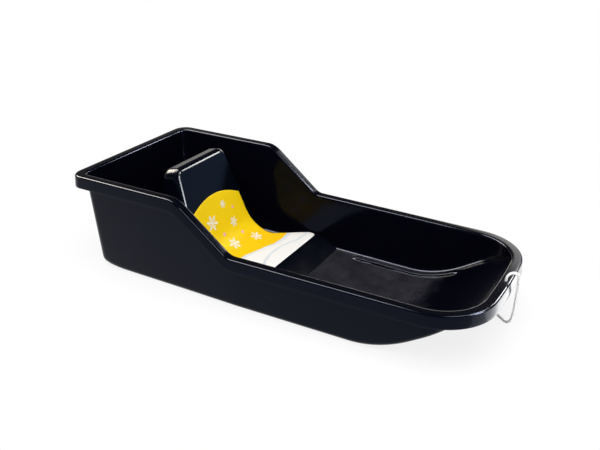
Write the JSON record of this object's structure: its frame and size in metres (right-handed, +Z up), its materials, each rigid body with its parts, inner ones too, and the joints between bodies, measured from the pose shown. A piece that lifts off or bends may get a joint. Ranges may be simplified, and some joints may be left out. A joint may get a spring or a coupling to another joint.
{
  "type": "baby pull sled",
  "caption": "Moulded tub sled with a tall luggage end, a seat with a backrest set in it, a label on the seat and a pull rope knotted into the nose",
  "frame": {"origin": "On the ground, below the middle of the tub's rim.", "axes": "+X points forward to the nose where the rope is tied, +Y to the left of someone sitting in the sled, +Z up."},
  "size_m": [0.9134, 0.4911, 0.231],
  "materials": {
    "tub_plastic": "smooth moulded, glossy",
    "seat_plastic": "smooth moulded, glossy",
    "rivet_plastic": "smooth moulded",
    "label_film": "printed film",
    "rope_cord": "braided",
    "tie_strap": "smooth"
  },
  "bodies": {
    "root": {"tub": "tub_plastic", "seat_with_backrest": "seat_plastic", "seat_rivet_rear_left": "rivet_plastic", "seat_rivet_rear_right": "rivet_plastic", "seat_rivet_left": "rivet_plastic", "seat_rivet_right": "rivet_plastic", "seat_label": "label_film", "pull_rope": "rope_cord", "rope_stop_knot": "rope_cord", "rope_coil": "rope_cord", "coil_tie": "tie_strap", "rope_tail": "rope_cord", "rope_hand_knot": "rope_cord", "rope_hand_loop": "rope_cord"}
  },
  "joints": []
}
